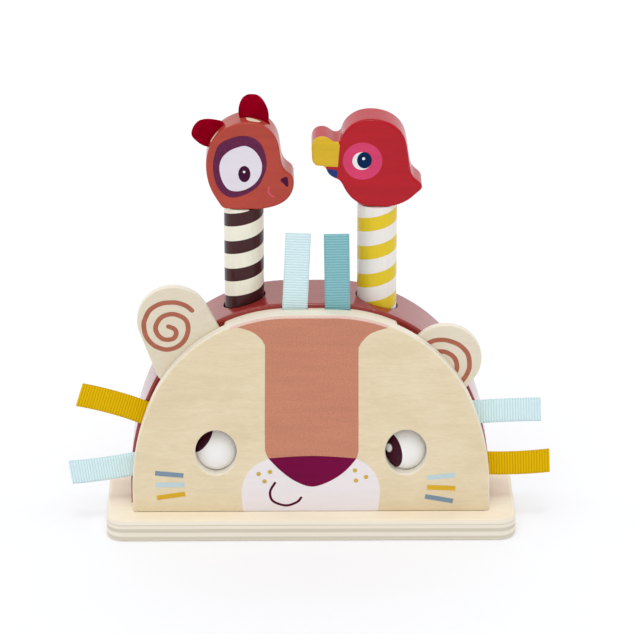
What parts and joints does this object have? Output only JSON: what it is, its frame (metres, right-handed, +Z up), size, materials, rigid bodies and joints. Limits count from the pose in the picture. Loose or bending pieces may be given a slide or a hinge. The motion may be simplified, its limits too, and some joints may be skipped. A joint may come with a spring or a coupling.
{
  "type": "pop up animal toy",
  "caption": "wooden pop-up toy: half-round block with an animal-face panel on a board, sprung turning pegs with animal heads, rocking ears, rolling ball eyes and ribbon loops",
  "frame": {"origin": "centre of the board's underside, which rests on the table", "axes": "+X right as the face is seen, +Y towards the back, +Z up"},
  "size_m": [0.2461, 0.062, 0.2281],
  "materials": {
    "birch_ply": "clear-lacquered light plywood",
    "face_wood": "clear-lacquered light wood with printed details",
    "rust_paint": "satin rust-red paint on wood",
    "bare_wood": "bare light wood",
    "brown_peg": "satin paint, brown and cream spiral stripes",
    "yellow_peg": "satin paint, yellow and off-white spiral stripes",
    "terracotta_paint": "satin terracotta paint",
    "red_paint": "satin red paint",
    "eye_paint": "satin white paint with a dark pupil",
    "steel": "zinc-plated steel",
    "spring_steel": "spring wire",
    "pale_blue_ribbon": "ribbed woven ribbon",
    "teal_ribbon": "ribbed woven ribbon",
    "mustard_ribbon": "ribbed woven ribbon",
    "crimson_felt": "wool felt"
  },
  "bodies": {
    "toy_body": {"base_board": "birch_ply", "base_screws": "steel", "block_front_board": "rust_paint", "block_rear_board": "rust_paint", "core_foot": "rust_paint", "core_middle": "rust_paint", "core_left": "rust_paint", "core_right": "rust_paint", "left_guide": "rust_paint", "right_guide": "rust_paint", "face_panel": "face_wood", "top_spacer": "bare_wood", "lower_spacer": "bare_wood", "ear_pivot_pin": "bare_wood", "ribbon_top_left": "pale_blue_ribbon", "ribbon_top_right": "teal_ribbon", "ribbon_left_upper": "mustard_ribbon", "ribbon_left_lower": "pale_blue_ribbon", "ribbon_right_upper": "pale_blue_ribbon", "ribbon_right_lower": "mustard_ribbon", "left_spring": "spring_steel", "right_spring": "spring_steel"},
    "ears": {"ear_plate": "face_wood"},
    "left_eye": {"left_eye_ball": "eye_paint"},
    "right_eye": {"right_eye_ball": "eye_paint"},
    "left_slider": {"left_thrust_washer": "steel"},
    "right_slider": {"right_thrust_washer": "steel"},
    "left_peg": {"left_dowel": "brown_peg", "left_stop_disc": "bare_wood", "left_stop_screw": "steel", "left_head_pin": "bare_wood", "left_head": "terracotta_paint", "felt_ear_top": "crimson_felt", "felt_ear_side": "crimson_felt"},
    "right_peg": {"right_dowel": "yellow_peg", "right_stop_disc": "bare_wood", "right_stop_screw": "steel", "right_head_pin": "bare_wood", "right_head": "red_paint"}
  },
  "joints": [
    {"name": "left_press", "type": "slide", "parent": "toy_body", "child": "left_slider", "axis": [0, 0, 1], "range_m": [-0.028, 0], "stiffness_N_per_m": 220, "springref_m": 0.02, "deforming": ["left_spring"]},
    {"name": "left_spin", "type": "hinge", "parent": "left_slider", "child": "left_peg", "pos_m": [-0.0335, 0.0075, 0.1005], "axis": [0, 0, 1], "continuous": true},
    {"name": "right_press", "type": "slide", "parent": "toy_body", "child": "right_slider", "axis": [0, 0, 1], "range_m": [-0.028, 0], "stiffness_N_per_m": 220, "springref_m": 0.02, "deforming": ["right_spring"]},
    {"name": "right_spin", "type": "hinge", "parent": "right_slider", "child": "right_peg", "pos_m": [0.0335, 0.0075, 0.1005], "axis": [0, 0, 1], "continuous": true},
    {"name": "ear_rock", "type": "hinge", "parent": "toy_body", "child": "ears", "pos_m": [0, -0.0115, 0.108], "axis": [0, 1, 0], "range_deg": [-18.8, 1.2]},
    {"name": "left_eye_roll", "type": "hinge", "parent": "toy_body", "child": "left_eye", "pos_m": [-0.0483, -0.00592, 0.0422], "axis": [0, 0, 1], "continuous": true},
    {"name": "right_eye_roll", "type": "hinge", "parent": "toy_body", "child": "right_eye", "pos_m": [0.0483, -0.00592, 0.0422], "axis": [0, 0, 1], "continuous": true}
  ]
}
